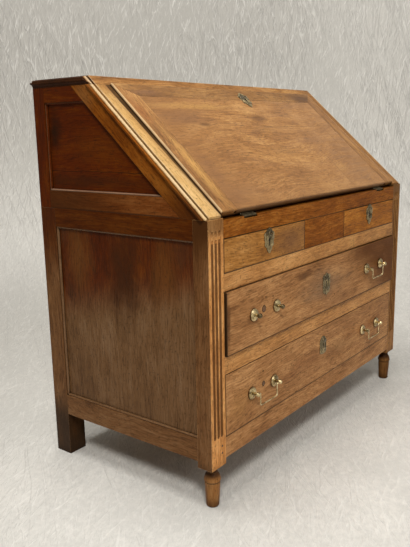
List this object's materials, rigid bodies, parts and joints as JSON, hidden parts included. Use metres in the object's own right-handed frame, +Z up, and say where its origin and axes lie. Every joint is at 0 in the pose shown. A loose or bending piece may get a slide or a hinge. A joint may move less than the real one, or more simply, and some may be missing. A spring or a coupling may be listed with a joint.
{
  "type": "slant-front desk",
  "caption": "Walnut slant-front writing desk with a hinged fall lid over pigeonholes, small and long drawers with brass bail handles, fluted posts and turned front feet.",
  "frame": {"origin": "on the floor, at the centre of the box around the desk, its handles included", "axes": "+Z up, the front faces -Y, +X to the right along the front for someone facing it"},
  "size_m": [1.136, 0.6078, 1.055],
  "materials": {
    "walnut_case": "old waxed walnut, dark",
    "walnut_front": "old waxed walnut, red-brown",
    "walnut_lid": "old waxed walnut, faded",
    "plain_oak": "unfinished, aged",
    "aged_brass": "aged"
  },
  "bodies": {
    "carcase": {"front_post_left": "walnut_case", "front_post_right": "walnut_case", "rear_post_left": "walnut_case", "rear_post_right": "walnut_case", "side_top_rail_left": "walnut_case", "side_top_rail_right": "walnut_case", "side_bottom_rail_left": "walnut_case", "side_bottom_rail_right": "walnut_case", "side_panel_left": "walnut_case", "side_panel_right": "walnut_case", "front_top_rail": "walnut_front", "front_upper_divider": "walnut_front", "front_lower_divider": "walnut_front", "front_bottom_rail": "walnut_front", "centre_fixed_front": "walnut_front", "upper_dust_board": "plain_oak", "middle_dust_board": "plain_oak", "bottom_dust_board": "plain_oak", "writing_bed": "walnut_lid", "back_panel": "plain_oak", "gable_rear_stile_left": "walnut_case", "gable_rear_stile_right": "walnut_case", "gable_top_rail_left": "walnut_case", "gable_top_rail_right": "walnut_case", "gable_bottom_rail_left": "walnut_case", "gable_bottom_rail_right": "walnut_case", "gable_panel_left": "walnut_case", "gable_panel_right": "walnut_case", "slant_rail_left": "walnut_case", "slant_rail_right": "walnut_case", "top_board": "walnut_lid", "pigeonhole_case": "plain_oak", "hinge_case_leaf_left": "aged_brass", "hinge_case_leaf_right": "aged_brass"},
    "lid": {"lid_panel": "walnut_lid", "lid_stile_left": "walnut_lid", "lid_stile_right": "walnut_lid", "lid_top_rail": "walnut_lid", "hinge_lid_leaf_left": "aged_brass", "hinge_lid_leaf_right": "aged_brass"},
    "small_drawer_left": {"small_drawer_left_front": "walnut_front", "small_drawer_left_box": "plain_oak"},
    "small_drawer_right": {"small_drawer_right_front": "walnut_front", "small_drawer_right_box": "plain_oak"},
    "upper_drawer": {"upper_drawer_front": "walnut_front", "upper_drawer_box": "plain_oak", "upper_drawer_handle_post_left_a": "aged_brass", "upper_drawer_handle_post_left_b": "aged_brass", "upper_drawer_handle_post_right_a": "aged_brass", "upper_drawer_handle_post_right_b": "aged_brass"},
    "lower_drawer": {"lower_drawer_front": "walnut_front", "lower_drawer_box": "plain_oak", "lower_drawer_handle_post_left_a": "aged_brass", "lower_drawer_handle_post_left_b": "aged_brass", "lower_drawer_handle_post_right_a": "aged_brass", "lower_drawer_handle_post_right_b": "aged_brass"},
    "upper_bail_right": {"upper_drawer_bail_right": "aged_brass"},
    "lower_bail_left": {"lower_drawer_bail_left": "aged_brass"},
    "lower_bail_right": {"lower_drawer_bail_right": "aged_brass"},
    "inner_drawer": {"inner_drawer": "plain_oak"}
  },
  "joints": [
    {"name": "lid_hinge", "type": "hinge", "parent": "carcase", "child": "lid", "pos_m": [0, -0.26504, 0.7135], "axis": [1, 0, 0], "range_deg": [0, 138.1]},
    {"name": "small_drawer_left_slide", "type": "slide", "parent": "carcase", "child": "small_drawer_left", "axis": [0, -1, 0], "range_m": [0, 0.3]},
    {"name": "small_drawer_right_slide", "type": "slide", "parent": "carcase", "child": "small_drawer_right", "axis": [0, -1, 0], "range_m": [0, 0.3]},
    {"name": "upper_drawer_slide", "type": "slide", "parent": "carcase", "child": "upper_drawer", "axis": [0, -1, 0], "range_m": [-0.007, 0.33]},
    {"name": "lower_drawer_slide", "type": "slide", "parent": "carcase", "child": "lower_drawer", "axis": [0, -1, 0], "range_m": [0, 0.33]},
    {"name": "inner_drawer_slide", "type": "slide", "parent": "carcase", "child": "inner_drawer", "axis": [0, -1, 0], "range_m": [0, 0.1]},
    {"name": "upper_bail_right_swing", "type": "hinge", "parent": "upper_drawer", "child": "upper_bail_right", "pos_m": [0.333, -0.29735, 0.464], "axis": [-1, 0, 0], "range_deg": [-26, 100]},
    {"name": "lower_bail_left_swing", "type": "hinge", "parent": "lower_drawer", "child": "lower_bail_left", "pos_m": [-0.333, -0.29035, 0.254], "axis": [-1, 0, 0], "range_deg": [-26, 100]},
    {"name": "lower_bail_right_swing", "type": "hinge", "parent": "lower_drawer", "child": "lower_bail_right", "pos_m": [0.333, -0.29035, 0.254], "axis": [-1, 0, 0], "range_deg": [-26, 100]}
  ]
}
